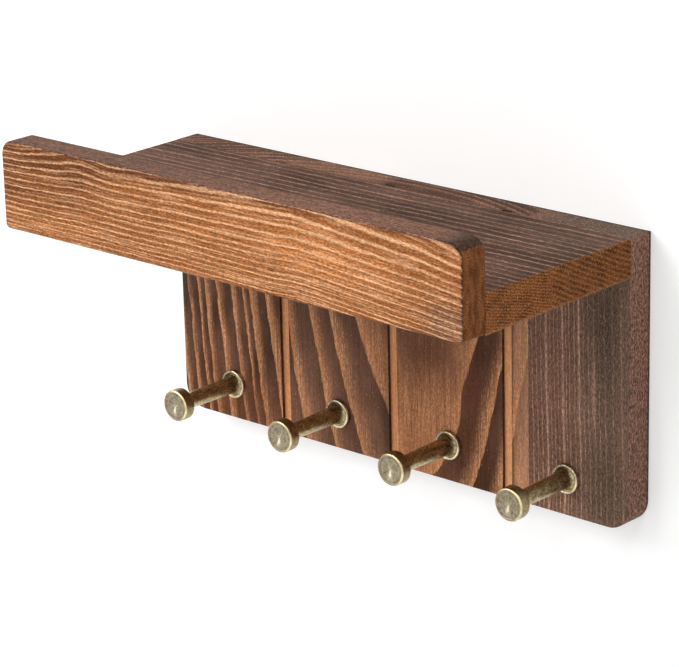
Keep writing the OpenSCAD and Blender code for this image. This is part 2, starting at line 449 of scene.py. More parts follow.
PANEL_TINTS = SimpleNamespace(
    haze=display(134, 96, 76),
    second_bay=display(142, 102, 80),
    stave_brown=display(125, 93, 76),
    stave_grey=display(129, 102, 86),
    stave_line=display(202, 158, 134),
    bare_strip=display(196, 142, 108),
    bare_fleck=display(220, 178, 148),
    band_rim=display(214, 150, 102),
    band_shadow=display(56, 34, 25),
    warm=display(124, 78, 56),
    grey_patch=display(64, 55, 44),
    # Grey of the patches, partly painted shade under the shelf and the rail
    rust=display(146, 88, 56),
    pore=display(190, 172, 156),
    side=display(132, 97, 81),
    top_line=display(146, 104, 84),
    top_grey_right=display(84, 70, 60),
    # Painted shade along the rear edge, where the board meets the wall
    rear_edge=display(54, 47, 41),
    sanded_left=display(232, 159, 109),
    sanded_right=display(248, 177, 123),
    # Painted light on the right of each groove floor
    painted_floor_light=display(255, 206, 160),
    # Dark stain and painted shade on the groove walls
    groove_wall_stain_and_shade=display(44, 28, 20),
)
SHELF_TINTS = SimpleNamespace(
    cloud=display(94, 66, 52),
    grey_patch=display(88, 76, 66),
    pore=display(176, 158, 144),
    end_dark=display(80, 39, 11),
    end_light=display(119, 66, 28),
    end_line=display(172, 114, 68),
    end_pit=display(52, 27, 10),
    end_speck=display(206, 157, 112),
    end_worn=display(170, 122, 86),
)
RAIL_TINTS = SimpleNamespace(
    stained=display(114, 66, 38),
    rubbed=display(196, 126, 76),
    mauve=display(126, 94, 80),
    top_left=display(109, 77, 62),
    top_right=display(119, 83, 66),
    corner=display(58, 46, 36),
    # Painted shade on the rail's underside
    underside_shade=display(92, 58, 40),
    end_dark=display(102, 58, 29),
    end_light=display(137, 85, 47),
)


def fibres(wood, along, across, depth, stripes, grit):
    """Fine streaks and short flecks along the grain, the light ones stronger than the dark ones."""
    streaks = wood.noise(wood.vector(along * 0.04, across * 1.3, depth * 1.3), detail=2, roughness=0.7)
    flecks = wood.noise(wood.vector(along * 0.25, across * 1.2, depth * 1.2), detail=1, roughness=0.7)
    dots = wood.noise(wood.vector(along * 0.6, across * 1.4, depth * 1.4), detail=1, roughness=0.8)
    flecks = wood.rise(flecks, 0.36, 0.64) - 0.5
    dots = wood.rise(dots, 0.38, 0.62) - 0.5
    speckle = (streaks - 0.5) * stripes + (flecks * 0.7 + dots * 1.2) * grit
    return wood.most(speckle, speckle * 0.62)


def pale_pores(wood, x, y, z, dust=0.0):
    """Pale specks where the stain didn't take, sparse where dust is 0 and thick where it is 1."""
    grain = wood.noise(wood.vector(x * 1.2 + 17, y * 1.2 + 5, z), detail=0)
    return wood.rise(grain + 0.09 * dust, 0.76, 0.82)


def varnish(wood, colour, fibre, speckle, light, choices):
    """Gives a board its colour with the speckle on it, its sheen and its relief."""
    shade = wood.scale(colour, wood.most(1 + speckle, DARKEST_SPECK))
    wood.feed(Base_Color=shade, Roughness=0.58 + fibre * 0.08)
    wood.bump((light * 0.5 + fibre * 0.5) * choices.relief)


def flat_stave(wood, x, y, z, sway, fray):
    """The left stave, sawn flat: broad light bands, each with a sharp outer edge."""
    across = x - PANEL_HEART_X + sway * 3.5 + fray * 1.8
    depth = y - PANEL_HEART_Y - (z + 15) * 0.078 - wood.spot(x, z, (18, -64), (22, 18)) * 1.9
    depth = depth - wood.spot(x, z, (39, -42), (12, 18)) * 1.1
    radius = wood.maths("SQRT", across * across + depth * depth)
    count = wood.rings(radius, PANEL_RINGS)
    within = wood.part(count)
    heart = wood.rise(radius, 173.5, 171.5)
    edge = wood.rise(within, 1.0, 0.97)
    # Each band has patches of its own, because the whole count goes into the noise
    patch = wood.noise(wood.vector(wood.whole(count) * 7.3, x * 0.02, z * 0.03), detail=2)
    thread = wood.noise(wood.vector(x * 1.1, y * 1.1, z * 0.03), detail=1)
    streaky = 0.66 + 0.45 * wood.rise(patch, 0.35, 0.6) + (thread - 0.5) * (0.9 - heart * 0.5)
    return SimpleNamespace(
        band=wood.rise(within, 0.4 - heart * 0.25, 0.95) * edge * streaky,
        rim=wood.rise(within, 0.78, 0.93) * edge,
        shadow=wood.rise(within, 0.45, 0.0) * (1 - heart),
        heart=heart,
        patch=patch,
    )


def quarter_stave(wood, x, z, sway, fray, patch):
    """The right stave, sawn on the quarter: fine light lines and a few bold ones."""
    wander = wood.noise(wood.vector(0.0, 3.0, z * 0.09), detail=2) - 0.5
    slide = x + (z - 51) * 0.022 + sway * 1.4 + wander * 0.9 + fray * 0.2
    near = abs(wood.part(wood.rings(slide, STAVE_LINES) + 0.5) - 0.5)
    fade = 0.45 + 0.5 * wood.rise(x, 134, 106)
    line = wood.rise(near + fray * 0.3, 0.15, 0.02) * fade * (0.4 + patch)
    bold = wood.spots(slide, z, BOLD_LINES) * (0.45 + 0.5 * patch)
    return line + bold + (wander + sway) * 0.25


def panel_finish(choices):
    """Stained softwood of two staves with upright grain, and three grooves sanded back to bright wood,
    with painted light on their floors and painted shade on their walls.
    """
    wood = Recipe("stained_board", **VARNISH)
    tints = PANEL_TINTS
    x, y, z = wood.millimetres()
    turn_x, turn_y, turn_z = wood.facing()
    right = wood.rise(x, PANEL_JOINT - JOINT_BLEND, PANEL_JOINT + JOINT_BLEND)
    left = 1 - right
    top = wood.rise(turn_z, 0.6, 0.9)
    fibre = fibres(wood, z, x, y, 3 - right * 1.8, 0.7 + right * 0.5)
    sway = wood.noise(wood.vector(x * 0.06, y * 0.06, z * 0.035), detail=2) - 0.5
    fray = wood.noise(wood.vector(x * 0.9, y * 0.9, z * 0.2), detail=3) - 0.5
    flat = flat_stave(wood, x, y, z, sway, fray)
    line = quarter_stave(wood, x, z, sway, fray, flat.patch)
    dotted = wood.rise(fibre, 0.2, -0.9)
    light = flat.band * (1 - dotted * 0.45) * left + wood.most(line, 0) * 0.6 * right
    light = light * (1 - top * 0.35)

    # Ground under the light wood
    cloud = wood.noise(wood.vector(x * 0.035, y * 0.035, z * 0.022), detail=3)
    ground = wood.mix(wood.rise(cloud, 0.38, 0.62), choices.panel_dark, choices.panel_mid)
    ground = wood.mix(wood.spot(x, z, (-40, -28), (14, 30)) * 0.35, ground, tints.haze)
    stave = wood.mix(wood.rise(x, 104, 118), tints.stave_brown, tints.stave_grey)
    ground = wood.mix(right * 0.8, ground, stave)
    second_bay = wood.rise(x, -68, -64) * wood.rise(x, -2, -8) * 0.4
    ground = wood.mix(second_bay, ground, tints.second_bay)
    strip = wood.rise(x, 72.8, 74.5) * left * (1 - top) * (0.9 + fray * 0.9)
    ground = wood.mix(wood.least(strip, 1), ground, tints.bare_strip)

    # Light wood, and what the stain did to it
    streak = wood.mix(right, choices.panel_light, tints.stave_line)
    streak = wood.mix(top, streak, tints.top_line)
    colour = wood.mix(light, ground, streak)
    bare = light * wood.rise(fibre, 0.15, 0.8) * left * (0.45 - flat.heart * 0.25)
    colour = wood.mix(bare, colour, tints.bare_fleck)
    colour = wood.mix(flat.rim * left * (1 - top) * 0.42, colour, tints.band_rim)
    colour = wood.mix(flat.shadow * left * 0.35, colour, tints.band_shadow)
    warm = wood.spot(x, z, (44, -34), (14, 34)) * (1 - light) * 0.45
    colour = wood.mix(warm, colour, tints.warm)
    # Grey patches, partly painted shade under the shelf and the rail
    grey_patch = wood.spots(x, z, PANEL_GREY_AND_SHADE) * (1 - light * 0.7)
    colour = wood.mix(grey_patch, colour, tints.grey_patch)
    colour = wood.mix(wood.spots(x, z, PANEL_RUST), colour, tints.rust)
    side = wood.rise(abs(turn_x), 0.6, 0.9) * wood.rise(abs(x), BOARD_HIGH.x - 10, BOARD_HIGH.x - 1)
    colour = wood.mix(side * 0.9, colour, tints.side)

    # Grooves, sanded on the floor with painted light towards its right side, and dark on the walls from
    # stain and painted shade
    lane = x - HOOK_PITCH * wood.whole((x + HOOK_PITCH / 2) / HOOK_PITCH)
    inner = wood.rise(abs(lane), GROOVE_HALF + 1.2, GROOVE_HALF + 0.6) * wood.rise(abs(x), 90, 80)
    inner = inner * wood.rise(y, GROOVE_FLOOR + 0.4, GROOVE_FLOOR + 0.2)
    # Groove walls, darkened by stain and by painted shade
    wall_stain_and_shade = inner * wood.rise(abs(turn_x), 0.4, 0.8)
    groove = inner * wood.rise(abs(lane), GROOVE_HALF + 0.15, GROOVE_HALF - 0.1)
    groove = groove * wood.rise(y, BOARD_LOW.y + 0.4, BOARD_LOW.y + 1.2)
    groove = groove * wood.rise(z, BOARD_HIGH.z - 2, BOARD_HIGH.z - 4)
    sanded = wood.mix(wood.rise(x, 30, 40), tints.sanded_left, tints.sanded_right)
    # Painted light: each groove floor grows lighter towards its right side
    painted_floor_light = wood.rise(lane + fray * 0.8, 1.1, 2.3) * 0.55
    sanded = wood.mix(painted_floor_light, sanded, tints.painted_floor_light)
    colour = wood.mix(groove * (0.86 + fray * 0.4), colour, sanded)
    colour = wood.mix(wall_stain_and_shade * 0.85, colour, tints.groove_wall_stain_and_shade)

    # Top, painted shade along the rear edge, and pores
    # The board's top turns greyer towards the right
    colour = wood.mix(top * wood.rise(x + fray * 12, 70, 100) * 0.6, colour, tints.top_grey_right)
    # Painted shade on the sides and the top near the rear face, where the board meets the wall
    rear = wood.rise(y + fray * 0.9, -2.2, -0.9) * wood.rise(turn_y, 0.5, 0.3)
    colour = wood.mix(rear * 0.8, colour, tints.rear_edge)
    dust = wood.spot(x, z, (126, 26), (18, 36))
    colour = wood.mix(pale_pores(wood, x, y, z, dust) * 0.4, colour, tints.pore)
    speckle = fibre * (0.42 + right * 0.15 + wood.most(side, top) * 0.45 - groove * 0.12)
    varnish(wood, colour, fibre, speckle, light, choices)
    return wood.material


def shelf_end(wood, x, y, z, near, fray):
    """The colour of the shelf's sawn ends, worn pale along their edges."""
    tints = SHELF_TINTS
    pore = wood.noise(wood.vector(x, y * 0.9, z * 1.3), detail=3, roughness=0.7)
    line = wood.rise(near + (pore - 0.5) * 1.4, 0.36, 0.04)
    blotch = wood.noise(wood.vector(0.0, y * 0.12, z * 0.16), detail=3)
    grit = wood.noise(wood.vector(0.0, y * 1.1, z * 1.1), detail=2, roughness=0.75)
    colour = wood.mix(wood.rise(blotch, 0.36, 0.62), tints.end_dark, tints.end_light)
    colour = wood.mix(line * 0.55, colour, tints.end_line)
    colour = wood.mix(wood.rise(grit, 0.46, 0.32) * 0.6, colour, tints.end_pit)
    colour = wood.mix(wood.rise(grit, 0.56, 0.7) * 0.75, colour, tints.end_speck)
    lower_edge = wood.rise(z + fray * 2.5, SHELF_LOW.z + 2, SHELF_LOW.z + 0.3)
    upper_edge = wood.rise(z + fray * 4, SHELF_HIGH.z - 0.8, SHELF_HIGH.z - 0.1)
    worn = lower_edge + upper_edge * wood.rise(y, -70, -30)
    worn = worn * (0.3 + wood.rise(grit, 0.45, 0.6) * 0.4)
    colour = wood.mix(worn, colour, tints.end_worn)
    return wood.scale(colour, 1.12 - wood.rise(y, -85, -50) * 0.2)


def shelf_finish(choices):
    """Dark stained board of two staves with grain along the shelf."""
    wood = Recipe("stained_shelf", **VARNISH)
    tints = SHELF_TINTS
    x, y, z = wood.millimetres()
    fibre = fibres(wood, x, y, z, 3, 1)
    sway = wood.noise(wood.vector(x * 0.014, y * 0.05, z * 0.05), detail=3) - 0.5
    fray = wood.noise(wood.vector(x * 0.2, y * 0.7, z * 0.7), detail=2) - 0.5
    bent = z + sway * 2.2 + fray * 0.35 - x * 0.004
    from_rear = y - SHELF_HIGH.y
    # Sloping rings, one above the other every 2.5 mm in the rear stave and every 1.4 mm in the front one
    rear = (bent + from_rear * 0.47) / 2.5
    front = (bent + from_rear * 0.3) / 1.4
    joint = wood.rise(y, SHELF_JOINT - JOINT_BLEND, SHELF_JOINT + JOINT_BLEND)
    count = front * (1 - joint) + rear * joint
    near = abs(wood.part(count) - 0.5)
    weight = wood.noise(wood.vector(wood.whole(count) * 5.3, x * 0.01, 0.0), detail=1)
    jag = wood.noise(wood.vector(x * 0.3, y * 1.2, z * 1.2), detail=2) - 0.5
    line = wood.rise(near + jag * 0.25, 0.2, 0.02) * (0.5 + 0.6 * wood.rise(weight, 0.35, 0.65))
    cloud = wood.noise(wood.vector(x * 0.02, y * 0.05, z * 0.05), detail=3)
    ground = wood.mix(wood.rise(cloud, 0.35, 0.65), choices.shelf_dark, tints.cloud)
    ground = wood.mix(wood.spots(x, y, SHELF_GREY_PATCHES), ground, tints.grey_patch)
    colour = wood.mix(line * 0.85, ground, choices.shelf_light)
    ends = wood.rise(abs(x), SHELF_HIGH.x - 0.8, SHELF_HIGH.x - 0.2)
    colour = wood.mix(ends, colour, shelf_end(wood, x, y, z, near, fray))
    colour = wood.mix(pale_pores(wood, x, y, z) * 0.35, colour, tints.pore)
    varnish(wood, colour, fibre, fibre * (0.75 - ends * 0.35), line, choices)
    return wood.material


def rail_finish(choices):
    """Orange-brown rail whose stain is rubbed back from the late wood lines."""
    wood = Recipe("rubbed_rail", **VARNISH)
    tints = RAIL_TINTS
    x, y, z = wood.millimetres()
    drop = RAIL_HIGH.z - z
    fray = wood.noise(wood.vector(x * 0.16, y * 0.7, z * 0.7), detail=3) - 0.5
    down = drop - wood.table(x, RAIL_RISE, "CARDINAL") + fray * 0.9
    inward = wood.table(x, RAIL_DEPTH, "CARDINAL") - (y - RAIL_LOW.y)
    radius = wood.maths("SQRT", down * down + inward * inward)
    fibre = fibres(wood, x, down, y, 3, 1)
    count = wood.rings(radius, RAIL_RINGS)
    near = abs(wood.part(count + 0.5) - 0.5)
    weight = wood.noise(wood.vector(wood.whole(count + 0.5) * 5.3, x * 0.012, 0.0), detail=1)
    strength = 0.55 + 0.5 * wood.rise(weight, 0.3, 0.6)
    flame = wood.spots(x, drop, RAIL_FLAMES)
    width = 0.19 + flame * 0.1
    jag = wood.noise(wood.vector(x * 0.4, y * 1.2, z * 1.2), detail=2) - 0.5
    line = wood.rise(near + jag * 0.22, width, 0.02) * strength
    thin = wood.noise(wood.vector(x * 0.025, radius * 1.4, 4.0), detail=1, roughness=0.7)
    line = wood.least(line + wood.rise(thin, 0.5, 0.66) * 0.45, 1)

    # Ground, from stained to rubbed
    below = wood.rise(wood.part(count), 0.6, 0.1) * (1 - flame * 0.6)
    lower_left = wood.rise(x, -40, -105) * wood.rise(drop, 38, 24)
    dark = wood.spots(x, drop, RAIL_DARK) + lower_left * 0.5
    dark = dark + wood.rise(drop, 5, 1) * 0.6 + below * 0.35
    bright = wood.spots(x, drop, RAIL_BRIGHT)
    cloud = wood.noise(wood.vector(x * 0.025, y * 0.1, z * 0.1), detail=3) - 0.5
    tone = wood.least(wood.most(bright - dark * 0.9 + cloud * 1.2, -1), 1)
    ground = wood.mix(wood.rise(tone, -1, 0), tints.stained, choices.rail_base)
    ground = wood.mix(wood.rise(tone, 0, 1), ground, tints.rubbed)
    light = line * (0.85 + tone * 0.15)

    # Top, underside with painted shade, and ends
    turn_x, turn_y, turn_z = wood.facing()
    ends = wood.rise(abs(turn_x) + fray * 0.1, 0.8, 0.93)
    top = wood.rise(turn_z + abs(turn_x), 0.3, 0.7) * (1 - ends)
    corner = wood.rise(x + fray * 9, 122, 135) * top
    lined = wood.most(wood.rise(abs(turn_y), 0.55, 0.85), wood.rise(turn_z, -0.5, -0.85))
    mauve = wood.spot(x, drop, (132, 38), (12, 11)) * 0.55
    ground = wood.mix(mauve, ground, tints.mauve)
    top_ground = wood.mix(wood.rise(x, -60, 60), tints.top_left, tints.top_right)
    ground = wood.mix(top, ground, top_ground)
    ground = wood.mix(corner * 0.8, ground, tints.corner)
    # Painted shade: the underside is darker
    ground = wood.mix(wood.rise(turn_z, -0.2, -0.6) * 0.6, ground, tints.underside_shade)
    blotch = wood.noise(wood.vector(0.0, y * 0.35, z * 0.12), detail=3)
    end_ground = wood.mix(wood.rise(blotch, 0.36, 0.62), tints.end_dark, tints.end_light)
    ground = wood.mix(ends, ground, end_ground)
    colour = wood.mix(light * lined * (1 - ends * 0.94), ground, choices.rail_light)
    speckle = fibre * (0.66 - light * 0.28 + top * 0.3) - 0.04 - wood.rise(x, 10, -80) * 0.07
    varnish(wood, colour, fibre, speckle, light, choices)
    return wood.material


def dowel_finish():
    """Plain beech with short dark flecks."""
    wood = Recipe("plain_beech", Roughness=0.6)
    x, y, z = wood.millimetres()
    fleck = wood.noise(wood.vector(x * 4, y * 0.5, z * 4), detail=2)
    colour = wood.mix(wood.rise(fleck, 0.5, 0.7), display(204, 172, 134), display(168, 130, 92))
    wood.feed(Base_Color=colour)
    wood.bump(fleck * 0.03 * MM)
    return wood.material


# Metal, with all places and lengths in millimetres


HOOK_LENGTH = 43.0
HEAD_START = 37.0
HEAD_RADIUS = 7.9
FOOT_RADIUS = 7.2
BORE_RADIUS = 2.05
BORE_DEPTH = 10.5
ARC_STEPS = 8


def brass_finish(choices):
    """Aged brass, bright where hands rub it and where highlights are painted on the rims and the face,
    and dark in the hollows. One recipe fits all four hooks.
    """
    brass = Recipe("aged_brass", Metallic=1.0, Roughness=0.3)
    x, y, z = brass.millimetres()
    side = brass.maths("FLOORED_MODULO", x, HOOK_PITCH) - HOOK_PITCH / 2
    height = z - HOOK_HEIGHT
    off_axis = brass.maths("SQRT", side * side + height * height)
    ahead = BOARD_LOW.y - y
    across, up = side / off_axis, height / off_axis
    # A number for each hook, so that no two have the same marks
    hook = brass.whole(x / HOOK_PITCH)
    cloud = brass.noise(brass.vector(x * 0.45, y * 0.3, z * 0.45), detail=4, roughness=0.6) - 0.5
    speck = brass.noise(brass.vector(x * 3, y * 3, z * 3), detail=2) - 0.5
    pit = brass.noise(brass.vector(x * 1.5, y * 1.5, z * 1.5), detail=1) - 0.5
    ray = brass.noise(brass.vector(across * 3, up * 3, off_axis * 0.15 + hook), detail=3)
    around = brass.noise(brass.vector(across * 0.9, up * 0.9, hook + ahead * 0.02), detail=1)

    # Parts of a hook, from its face back to its foot
    face = brass.rise(ahead, HOOK_LENGTH - 0.8, HOOK_LENGTH - 0.5)
    head = brass.rise(ahead, HEAD_START - 0.1, HEAD_START + 0.1)
    face_edge = face * brass.rise(off_axis, 6.95, 7.2)
    rear_edge = brass.rise(off_axis, 7.3, 7.5) * brass.rise(ahead, HEAD_START + 0.6, HEAD_START + 0.3)
    foot = brass.rise(ahead, 3.4, 2.8)
    foot_rim = foot * brass.rise(off_axis, 6.0, 6.4) * brass.rise(ahead, 1.9, 2.2)
    # Painted highlight: the foot's rim is brighter towards the right
    foot_rim = foot_rim * brass.rise(around, 0.3, 0.56) * (0.25 + brass.rise(side, -2, 4) * 0.7)
    dish = brass.rise(off_axis, 4.9, 5.6) * brass.rise(ahead, 3, 2.4) * (1 - foot_rim)
    hollow = brass.rise(ahead, 1.2, 4.5) * brass.rise(ahead, 11, 5) * 0.35
    shaded = foot * (brass.rise(side - height * 0.6, 2, -5) * 0.45 + brass.rise(ahead, 1.9, 1.2) * 0.3)
    rim = brass.least(face_edge + rear_edge + foot_rim, 1)

    # Rings left by the lathe, and the painted glint and highlight on the face
    lathe = off_axis * 1.7 * face + ahead * 2.5 * (1 - face)
    turned = brass.noise(brass.vector(lathe, 0.0, 0.0), detail=2)
    # Painted glint in the middle of the face
    centre = brass.spot(side, height, (0, 0), (1.5, 1.5)) * brass.rise(ray, 0.35, 0.7)
    # Painted highlight: a bright wedge below the middle of the face
    painted_wedge_highlight = brass.spot(across, up, (-0.15, -1), (0.34, 0.8)) * brass.rise(off_axis, 6.2, 2.2)

    # Tone of each part, 0 aged and 1 bright
    shank_tone = 0.56 + cloud + pit * 1.4 - hollow + dish * 0.42 - shaded
    head_tone = 0.4 + cloud * 0.8 + pit * 0.8
    face_tone = 0.36 + (ray - 0.5) * 0.45 + cloud * 0.5 + pit * 0.5 + (turned - 0.5) * 0.75
    face_tone = face_tone + centre * 0.5 + painted_wedge_highlight * (0.2 + ray)
    rim_rub_and_highlight = 0.38 + brass.rise(around, 0.35, 0.6) * 0.25 + cloud * 0.6
    # Painted highlight: the rims are brighter towards the right and the top
    rim_rub_and_highlight = rim_rub_and_highlight + brass.rise(side + height * 0.4, -6, 6) * 0.36
    tone = (shank_tone * (1 - head) + head_tone * head) * (1 - face) + face_tone * face
    tone = tone * (1 - rim) + rim_rub_and_highlight * rim + speck * 0.3
    tone = brass.least(brass.most(tone, 0), 1)

    grey = brass.most(face * (1 - rim), foot * 0.7)
    middle = brass.mix(grey, choices.brass_mid, display(152, 142, 120))
    bright = brass.mix(grey, choices.brass_rubbed_and_highlight, display(232, 220, 190))
    colour = brass.mix(brass.rise(tone, 0.0, 0.55), choices.brass_dark, middle)
    colour = brass.mix(brass.rise(tone, 0.5, 1.05), colour, bright)
    brass.feed(Base_Color=colour, Roughness=0.36 + 0.24 * cloud)
    brass.bump((turned * 0.025 + ray * face * 0.012 + cloud * 0.03) * MM)
    return brass.material


def steel_finish():
    """Zinc-plated steel."""
    steel = Recipe("zinc_plate", Metallic=1.0, Roughness=0.35)
    x, y, z = steel.millimetres()
    cloud = steel.noise(steel.vector(x * 1.2, y * 1.2, z * 1.2), detail=3)
    colour = steel.mix(cloud, display(176, 172, 160), display(208, 206, 200))
    steel.feed(Base_Color=colour, Roughness=0.25 + 0.25 * cloud)
    steel.bump(cloud * 0.01 * MM)
    return steel.material


# Making of the hooks


def arc(centre, radius, start, stop):
    """Points along an arc of a profile, with angles in degrees."""
    points = []
    for step in range(ARC_STEPS + 1):
        angle = math.radians(start + (stop - start) * step / ARC_STEPS)
        points.append((centre[0] + radius * math.cos(angle), centre[1] + radius * math.sin(angle)))
    return points


def hook_profile():
    """Half outline of a hook, as distances from its axis and from the board, in millimetres."""
    flare_radius = 6
    flare_height = 1.4 + flare_radius * math.sin(math.acos(0.75))
    bore = [(0, BORE_DEPTH), (BORE_RADIUS, BORE_DEPTH), (BORE_RADIUS, 0)]
    foot = [(4.5, 0), (6.85, 0), (7.1, 0.1), (FOOT_RADIUS, 0.35), (FOOT_RADIUS, 1.0)]
    foot += arc((FOOT_RADIUS - 0.7, 1.7), 0.7, 0, 150)
    dish = [(5.85, 1.75), (5.74, 1.52), (5.55, 1.45)]
    dish += arc((10.3, flare_height), flare_radius, 218, 180)
    shank = [(4.24, 9), (4.16, 14), (4.07, 20), (3.97, 26), (3.88, 32), (3.82, 36.2), (3.84, 36.7)]
    shank += [(4.05, HEAD_START), (5.5, HEAD_START)]
    head = [(7.35, HEAD_START), (7.6, 37.06), (7.8, 37.24), (7.88, 37.5)]
    head += [(HEAD_RADIUS, 38.2), (HEAD_RADIUS, 40), (HEAD_RADIUS, 41.6)]
    head += arc((HEAD_RADIUS - 0.9, HOOK_LENGTH - 0.9), 0.9, 0, 90)
    face = [(6.75, HOOK_LENGTH), (6.6, 42.97), (6.48, 42.88), (6.3, 42.82), (5.2, 42.78)]
    face += [(3.8, 42.72), (2.4, 42.68), (1.0, 42.66), (0.35, 42.64), (0, 42.6)]
    return bore + foot + dish + shank + head + face


def turn_hook(place, steps):
    """Turns one hook on its axis, from a half outline drawn point by point."""
    bpy.ops.object.select_all(action="DESELECT")
    profile = hook_profile()
    start = place + Vector((0, -profile[0][1], profile[0][0])) * MM
    bpy.ops.mesh.primitive_plane_add(size=MM, location=start)
    hook = bpy.context.object
    bpy.ops.object.transform_apply(location=True, rotation=False, scale=False)
    bpy.ops.object.mode_set(mode="EDIT")
    bpy.ops.mesh.select_all(action="SELECT")
    bpy.ops.mesh.merge(type="CENTER")
    for (before_r, before_s), (after_r, after_s) in zip(profile, profile[1:]):
        move = Vector((0, before_s - after_s, after_r - before_r)) * MM
        bpy.ops.mesh.extrude_vertices_move(TRANSFORM_OT_translate={"value": move})
    bpy.ops.mesh.select_all(action="SELECT")
    bpy.ops.mesh.spin(steps=steps, angle=2 * math.pi, center=place, axis=(0, 1, 0))
    bpy.ops.mesh.select_all(action="SELECT")
    bpy.ops.mesh.remove_doubles(threshold=0.005 * MM)
    bpy.ops.mesh.normals_make_consistent(inside=False)
    bpy.ops.object.mode_set(mode="OBJECT")
    bpy.ops.object.shade_smooth_by_angle(angle=math.radians(35))
    return hook


def copy_hook(context, first, move):
    """A copy of a hook with its own mesh, moved along the board."""
    bpy.ops.object.select_all(action="DESELECT")
    first.select_set(True)
    context.view_layer.objects.active = first
    bpy.ops.object.duplicate()
    bpy.ops.transform.translate(value=move)
    bpy.ops.object.transform_apply(location=True, rotation=False, scale=False)
    return context.object


# Camera, room and light, with all places and lengths in metres


# The wall stands just behind the board, which laps over the sides of its opening
WALL_PLACE = (0, 0.0003, 0)
WALL_LAP = 0.0005
WALL_CORNER = 0.0115

# How many times wider, deeper and higher than its opening the wall is
WALL_SPREAD = (14, 1, 30)

# The floor lies below the board's middle and starts a little behind the wall
FLOOR_SIZE = 8
FLOOR_DROP = 0.3
FLOOR_BEHIND = 0.1

# Glow of the wall and the floor for the camera, and the distances in millimetres between which it grows
NEAR_GLOW = 0.35
FAR_GLOW = 0.6
GLOW_START = 400
GLOW_END = 2000


def make_camera(context):
    """A long lens to the right of the holder and above it."""
    data = bpy.data.cameras.new("camera")
    data.lens = 161.44
    data.sensor_width = 36
    camera = bpy.data.objects.new("camera", data)
    place = Vector((0.90410, -1.04267, 0.45451))
    right = Vector((0.74363305, 0.668196, -0.0228908))
    up = Vector((-0.19558546, 0.25015105, 0.94824616))
    back = Vector((0.63934045, -0.70067008, 0.31671001))
    turn = Matrix((right, up, back)).transposed().to_4x4()
    camera.matrix_world = Matrix.Translation(place) @ turn
    context.scene.collection.objects.link(camera)
    context.scene.camera = camera
    context.scene.view_settings.view_transform = "Standard"


def pale_surface(name):
    """A pale wall or floor: near white to the camera, with the shadow kept, and clear from behind."""
    material = bpy.data.materials.new(name)
    material.use_nodes = True
    material.node_tree.nodes.clear()
    nodes = Nodes(material.node_tree)
    x, y, _ = nodes.millimetres()
    distance = nodes.maths("SQRT", x * x + y * y)
    glow = NEAR_GLOW + nodes.rise(distance, GLOW_START, GLOW_END) * (FAR_GLOW - NEAR_GLOW)
    path = nodes.node("ShaderNodeLightPath").outputs
    seen = nodes.most(path["Is Camera Ray"], path["Is Glossy Ray"])
    white = nodes.node("ShaderNodeEmission", inputs={"Strength": 1.0})
    light = nodes.node("ShaderNodeMixShader", inputs={0: seen * glow, 2: white.outputs[0]})
    paint = nodes.node("ShaderNodeBsdfDiffuse", inputs={"Color": (0.8, 0.8, 0.8, 1)})
    front = nodes.node("ShaderNodeAddShader", inputs={0: paint.outputs[0], 1: light.outputs[0]})
    behind = nodes.node("ShaderNodeNewGeometry").outputs["Backfacing"]
    clear = nodes.node("ShaderNodeBsdfTransparent")
    sides = {0: behind, 1: front.outputs[0], 2: clear.outputs[0]}
    surface = nodes.node("ShaderNodeMixShader", inputs=sides)
    nodes.node("ShaderNodeOutputMaterial", inputs={"Surface": surface.outputs[0]})
    return material


def make_wall(context):
    """A wall behind the board, open where the board covers it."""
    low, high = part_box("back_panel")
    bpy.ops.object.select_all(action="DESELECT")
    bpy.ops.mesh.primitive_plane_add(size=1, location=WALL_PLACE, rotation=(math.pi / 2, 0, 0))
    wall = context.object
    wall.name = "wall"
    wall.scale = (high.x - low.x - 2 * WALL_LAP, high.z - low.z, 1)
    bpy.ops.object.transform_apply(location=False, rotation=True, scale=True)
    bpy.ops.object.mode_set(mode="EDIT")
    bpy.ops.mesh.select_all(action="DESELECT")
    bpy.ops.object.mode_set(mode="OBJECT")
    for corner in wall.data.vertices:
        corner.select = corner.co.z < 0
    bpy.ops.object.mode_set(mode="EDIT")
    bpy.ops.mesh.bevel(offset=WALL_CORNER, segments=8, affect="VERTICES")
    bpy.ops.mesh.select_all(action="SELECT")
    bpy.ops.mesh.delete(type="ONLY_FACE")
    bpy.ops.mesh.select_all(action="SELECT")
    bpy.ops.mesh.extrude_edges_move()
    bpy.ops.transform.resize(value=WALL_SPREAD, center_override=WALL_PLACE)
    bpy.ops.mesh.select_all(action="SELECT")
    bpy.ops.mesh.normals_make_consistent(inside=False)
    bpy.ops.object.mode_set(mode="OBJECT")
    if wall.data.polygons[0].normal.y > 0:
        wall.data.flip_normals()
    wall.data.materials.append(pale_surface("pale_wall"))


def make_floor(context):
    """A floor below the holder, from a little behind the wall to far in front of it."""
    bpy.ops.object.select_all(action="DESELECT")
    place = (0, FLOOR_BEHIND - FLOOR_SIZE / 2, -FLOOR_DROP)
    bpy.ops.mesh.primitive_plane_add(size=FLOOR_SIZE, location=place)
    bpy.ops.object.transform_apply(location=True, rotation=False, scale=False)
    floor = context.object
    floor.name = "floor"
    floor.data.materials.append(pale_surface("pale_floor"))


def hang_lamp(context, name, way, distance, size, power):
    """A square soft lamp that shines at the holder from one side."""
    data = bpy.data.lights.new(name, "AREA")
    data.shape = "SQUARE"
    data.size = size
    data.energy = power
    lamp = bpy.data.objects.new(name, data)
    way = Vector(way).normalized()
    lamp.location = way * distance
    lamp.rotation_mode = "QUATERNION"
    lamp.rotation_quaternion = way.to_track_quat("Z", "Y")
    context.scene.collection.objects.link(lamp)


